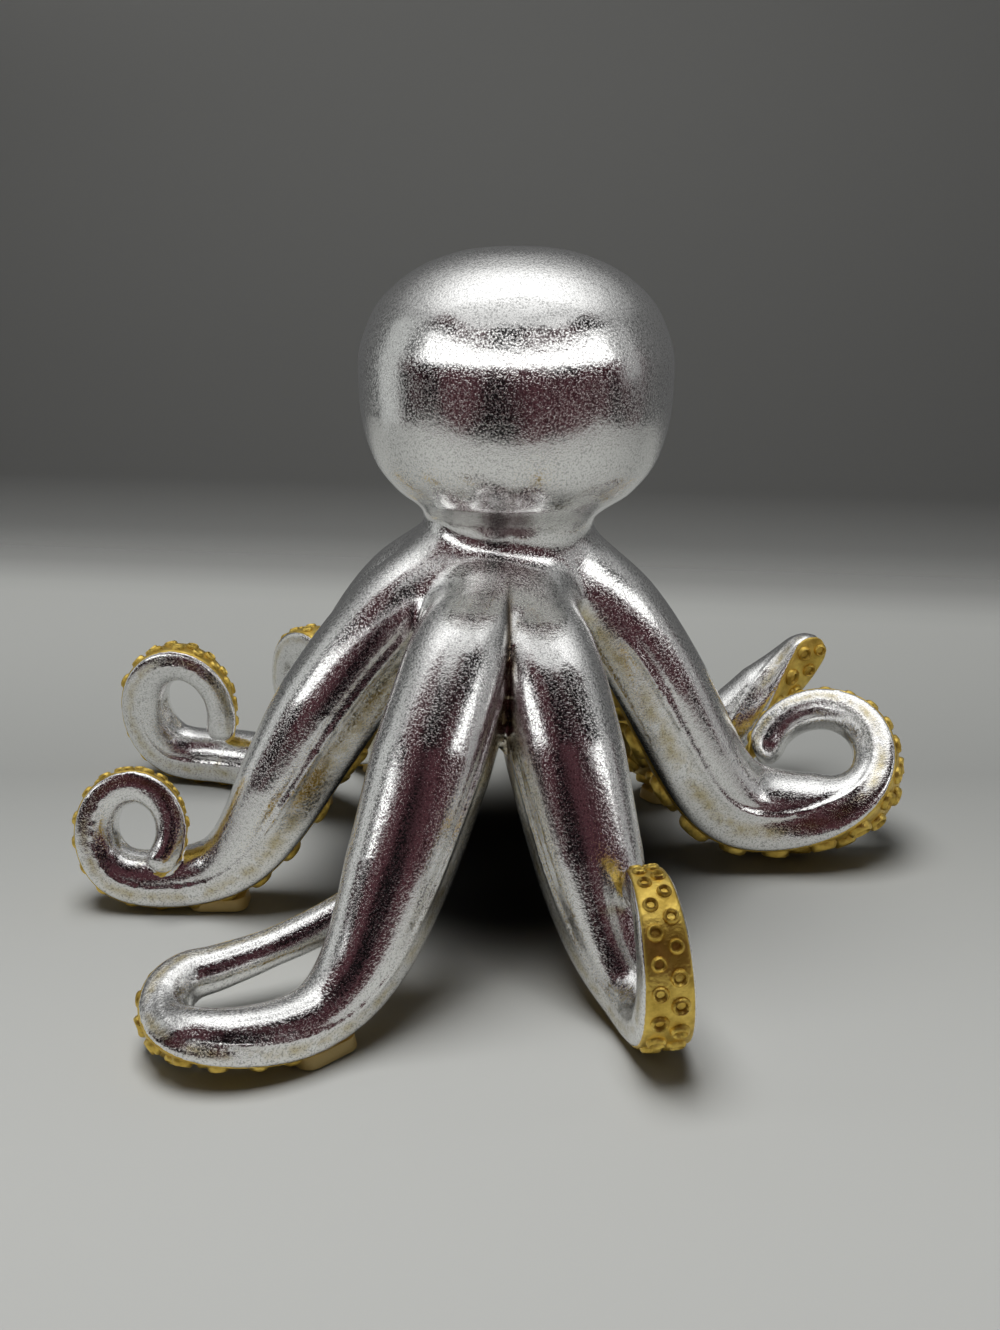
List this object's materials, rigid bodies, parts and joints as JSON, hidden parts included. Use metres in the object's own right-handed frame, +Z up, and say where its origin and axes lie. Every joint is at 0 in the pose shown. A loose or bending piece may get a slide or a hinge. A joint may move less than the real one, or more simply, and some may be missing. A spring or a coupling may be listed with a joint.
{
  "type": "octopus figurine",
  "caption": "Tabletop octopus ornament in silver leaf finish, standing on curled arms whose soles and ring suckers are gilded.",
  "frame": {"origin": "on the table under the middle of the whole figurine, where it rests on its foot pads", "axes": "+X is to the right for someone who looks at the front, -Y is the front and +Z is up; left and right in node names are that viewer's"},
  "size_m": [0.2754, 0.2602, 0.1965],
  "materials": {
    "silver": "gloss",
    "gilding": "satin",
    "keys": "satin"
  },
  "bodies": {
    "root": {"mantle": "silver", "crown_core": "silver", "root_keys": "keys", "arm_front_left": "silver", "arm_front_right": "silver", "arm_right_front": "silver", "arm_right_rear": "silver", "arm_rear_right": "silver", "arm_rear_left": "silver", "arm_left_rear": "silver", "arm_left_front": "silver", "band_front_left": "gilding", "band_front_right": "gilding", "band_right_front": "gilding", "band_right_rear": "gilding", "band_rear_right": "gilding", "band_rear_left": "gilding", "band_left_rear": "gilding", "band_left_front": "gilding", "pad_front_left": "gilding", "pad_right_rear": "gilding", "pad_rear_right": "gilding", "pad_rear_left": "gilding", "pad_left_rear": "gilding", "pad_left_front": "gilding"}
  },
  "joints": []
}
